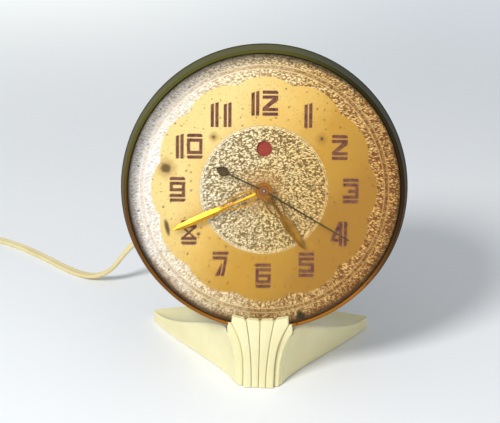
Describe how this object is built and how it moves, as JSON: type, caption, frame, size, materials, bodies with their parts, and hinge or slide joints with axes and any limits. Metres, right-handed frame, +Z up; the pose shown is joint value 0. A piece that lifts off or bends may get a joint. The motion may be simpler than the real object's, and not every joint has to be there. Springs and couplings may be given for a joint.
{
  "type": "electric table clock",
  "caption": "Round electric table clock with a gilt and silvered dial in a brown brass bezel, on a fluted ivory base with two swept wings, with cord and plug.",
  "frame": {"origin": "on the table top, in the clock's plane of symmetry and straight below the middle of the dial; a point of the felt's flat underside", "axes": "+Z up; the dial faces -Y and leans back by 16 degrees; +X to the right as the dial is read"},
  "size_m": [0.3505, 0.1974, 0.1766],
  "materials": {
    "ivory_plastic": "moulded cream plastic, aged and softly polished",
    "green_felt": "thin pressed felt",
    "steel": "plain turned and stamped steel",
    "aged_brass": "lacquered brass, browned and spotted with age",
    "crystal_glass": "clear domed glass",
    "dark_plastic": "brown black phenolic moulding",
    "dial_silver": "silvered sheet with a crystalline, glittering surface",
    "dial_gold": "satin gilt ring with fine age specks",
    "numeral_enamel": "dark maroon enamel",
    "signal_red": "bright red paint",
    "hand_gilt": "polished gilt, worn",
    "hand_bronze": "dulled gilt, browned",
    "hand_dark": "dark brown lacquer",
    "movement_brass": "stamped movement brass",
    "laminations": "varnished iron laminations",
    "copper_winding": "enamelled copper wire under varnish",
    "ivory_rubber": "yellowed ivory cord covering",
    "lead_rubber": "black rubber wire covering",
    "tie_paper": "brown paper band"
  },
  "bodies": {
    "case": {"base": "ivory_plastic", "base_felt": "green_felt", "base_screws": "steel", "case_strap": "steel", "bezel": "aged_brass", "crystal": "crystal_glass", "spacer_ring": "dark_plastic", "dial": "dial_silver", "chapter_ring": "dial_gold", "numerals": "numeral_enamel", "flag_stud": "steel", "front_plate": "movement_brass", "back_plate": "movement_brass", "plate_pillars": "movement_brass", "plate_screws": "steel", "dial_feet": "movement_brass", "dial_nuts": "steel", "rotor_unit": "movement_brass", "motor_studs": "steel", "field_core": "laminations", "coil_bobbin": "dark_plastic", "field_winding": "copper_winding", "cover_posts": "steel", "rear_cover": "dark_plastic", "cover_screws": "steel", "cord_sleeve": "dark_plastic", "lead_wires": "lead_rubber", "cord_lead": "ivory_rubber", "cord_coil": "ivory_rubber", "cord_tie": "tie_paper", "cord_tail": "ivory_rubber", "plug_body": "dark_plastic", "plug_blades": "movement_brass"},
    "second_train": {"second_hand": "hand_dark", "second_arbor": "steel", "second_wheel": "movement_brass"},
    "rotor_shaft": {"rotor_pinion": "steel"},
    "third_train": {"third_arbor": "steel", "third_wheel": "movement_brass"},
    "centre_train": {"centre_wheel": "movement_brass"},
    "minute_train": {"minute_hand": "hand_gilt", "cannon_pinion": "steel", "clutch_spring": "steel"},
    "hour_train": {"hour_hand": "hand_bronze", "hour_wheel": "movement_brass"},
    "setting_train": {"minute_wheel": "movement_brass", "set_shaft": "steel", "set_knob": "dark_plastic"},
    "signal": {"signal_flag": "signal_red"}
  },
  "joints": [
    {"name": "second_hand_turn", "type": "hinge", "parent": "case", "child": "second_train", "pos_m": [0, 0, 0.10315], "axis": [0, 0.9613, -0.2756], "continuous": true},
    {"name": "rotor_shaft_turn", "type": "hinge", "parent": "case", "child": "rotor_shaft", "pos_m": [0, -0.00317, 0.0921], "axis": [0, 0.9613, -0.2756], "continuous": true},
    {"name": "third_arbor_turn", "type": "hinge", "parent": "case", "child": "third_train", "pos_m": [0.014, 0, 0.10315], "axis": [0, 0.9613, -0.2756], "continuous": true},
    {"name": "centre_wheel_turn", "type": "hinge", "parent": "case", "child": "centre_train", "pos_m": [0, 0, 0.10315], "axis": [0, 0.9613, -0.2756], "continuous": true},
    {"name": "minute_hand_turn", "type": "hinge", "parent": "case", "child": "minute_train", "pos_m": [0, 0, 0.10315], "axis": [0, 0.9613, -0.2756], "continuous": true},
    {"name": "hour_hand_turn", "type": "hinge", "parent": "case", "child": "hour_train", "pos_m": [0, 0, 0.10315], "axis": [0, 0.9613, -0.2756], "continuous": true},
    {"name": "set_knob_turn", "type": "hinge", "parent": "case", "child": "setting_train", "pos_m": [-0.01342, 0.00214, 0.1106], "axis": [0, 0.9613, -0.2756], "continuous": true},
    {"name": "signal_flag_lift", "type": "hinge", "parent": "case", "child": "signal", "pos_m": [0.023, 0.00386, 0.11661], "axis": [0, 0.9613, -0.2756], "range_deg": [0, 25]}
  ],
  "couplings": [
    {"joint": "rotor_shaft_turn", "follows": "second_hand_turn", "ratio": -3.6},
    {"joint": "third_arbor_turn", "follows": "second_hand_turn", "ratio": -0.13333},
    {"joint": "centre_wheel_turn", "follows": "second_hand_turn", "ratio": 0.016667},
    {"joint": "hour_hand_turn", "follows": "minute_hand_turn", "ratio": 0.083333},
    {"joint": "set_knob_turn", "follows": "minute_hand_turn", "ratio": -0.33333}
  ]
}
